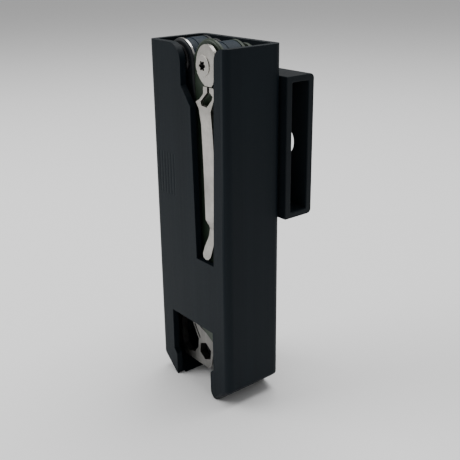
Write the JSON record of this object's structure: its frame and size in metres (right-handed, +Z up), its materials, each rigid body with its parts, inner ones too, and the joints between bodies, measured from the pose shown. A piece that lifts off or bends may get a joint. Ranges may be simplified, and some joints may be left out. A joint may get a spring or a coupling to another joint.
{
  "type": "holstered multi tool",
  "caption": "Closed folding multi tool with a pocket clip, stowed in a rigid belt holster with a front clip slot, an open thumb window and a screwed-on rectangular belt loop.",
  "frame": {"origin": "on the centreline of the holster's pocket, at the level of the holster's feet", "axes": "+Z up along the pocket, the way the tool is drawn; -Y is the front wall with the clip slot; +Y is the belt loop side; +X is the wearer-side right of the front view"},
  "size_m": [0.046, 0.0357, 0.128],
  "materials": {
    "holster_plastic": "satin printed polymer, fine vertical layer lines",
    "loop_plastic": "satin printed polymer",
    "black_screw": "black oxide socket screw",
    "nut_steel": "turned steel",
    "handle_olive": "olive coated sheet steel with bare edges",
    "handle_dark": "dark coated sheet steel with bare edges",
    "knuckle_blue": "blue-black coated forged steel",
    "liner_olive": "olive coated spring steel",
    "stainless": "satin stainless steel",
    "clip_steel": "bead-blasted stainless strip",
    "blade_coat": "dark coated blade with a bare ground edge",
    "pivot_black": "black coated stud head with a bright rim",
    "washer_steel": "dark turned steel",
    "bit_steel": "hardened driver bit",
    "ferro": "dark fire-starting rod",
    "cap_plastic": "black moulded cap",
    "hone": "grit-coated sharpening bar"
  },
  "bodies": {
    "holster": {"holster_shell": "holster_plastic", "loop_inner_plate": "loop_plastic", "loop_outer_plate": "loop_plastic", "loop_top_rim": "loop_plastic", "loop_bottom_rim": "loop_plastic", "loop_screws": "black_screw", "loop_nuts": "nut_steel"},
    "clip": {"pocket_clip": "clip_steel"},
    "fire_starter": {"fire_rod_cap": "cap_plastic", "fire_rod": "ferro"},
    "hone_stick": {"sharpener_cap": "cap_plastic", "sharpener": "hone"},
    "tool": {"handle_right": "handle_olive", "handle_left": "handle_dark", "lock_liner_right": "liner_olive", "lock_liner_left": "handle_dark", "plier_jaw_right": "knuckle_blue", "plier_jaw_left": "knuckle_blue", "jaw_pin": "stainless", "wire_cutters": "stainless", "cutter_screws": "black_screw", "pivot_bolt": "clip_steel", "pivot_stud": "pivot_black", "pivot_nuts": "stainless", "knuckle_spacers": "knuckle_blue", "pivot_washers": "washer_steel", "knife_blade": "blade_coat", "saw_blade": "blade_coat", "awl": "stainless", "can_opener": "stainless", "bit_driver": "stainless", "driver_bit": "bit_steel", "lower_axles": "stainless", "tool_pins": "stainless", "end_hook": "stainless", "clip_washer": "stainless", "clip_root": "clip_steel"}
  },
  "joints": [
    {"name": "tool_draw", "type": "slide", "parent": "holster", "child": "tool", "axis": [0, 0, 1], "range_m": [0, 0.128]},
    {"name": "clip_flex", "type": "hinge", "parent": "tool", "child": "clip", "pos_m": [0.0104, -0.0098, 0.11345], "axis": [-1, 0, 0], "range_deg": [0, 4], "stiffness_Nm_per_rad": 2},
    {"name": "fire_rod_draw", "type": "slide", "parent": "tool", "child": "fire_starter", "axis": [0, 0, -1], "range_m": [0, 0.048]},
    {"name": "hone_draw", "type": "slide", "parent": "tool", "child": "hone_stick", "axis": [0, 0, -1], "range_m": [0, 0.048]}
  ]
}
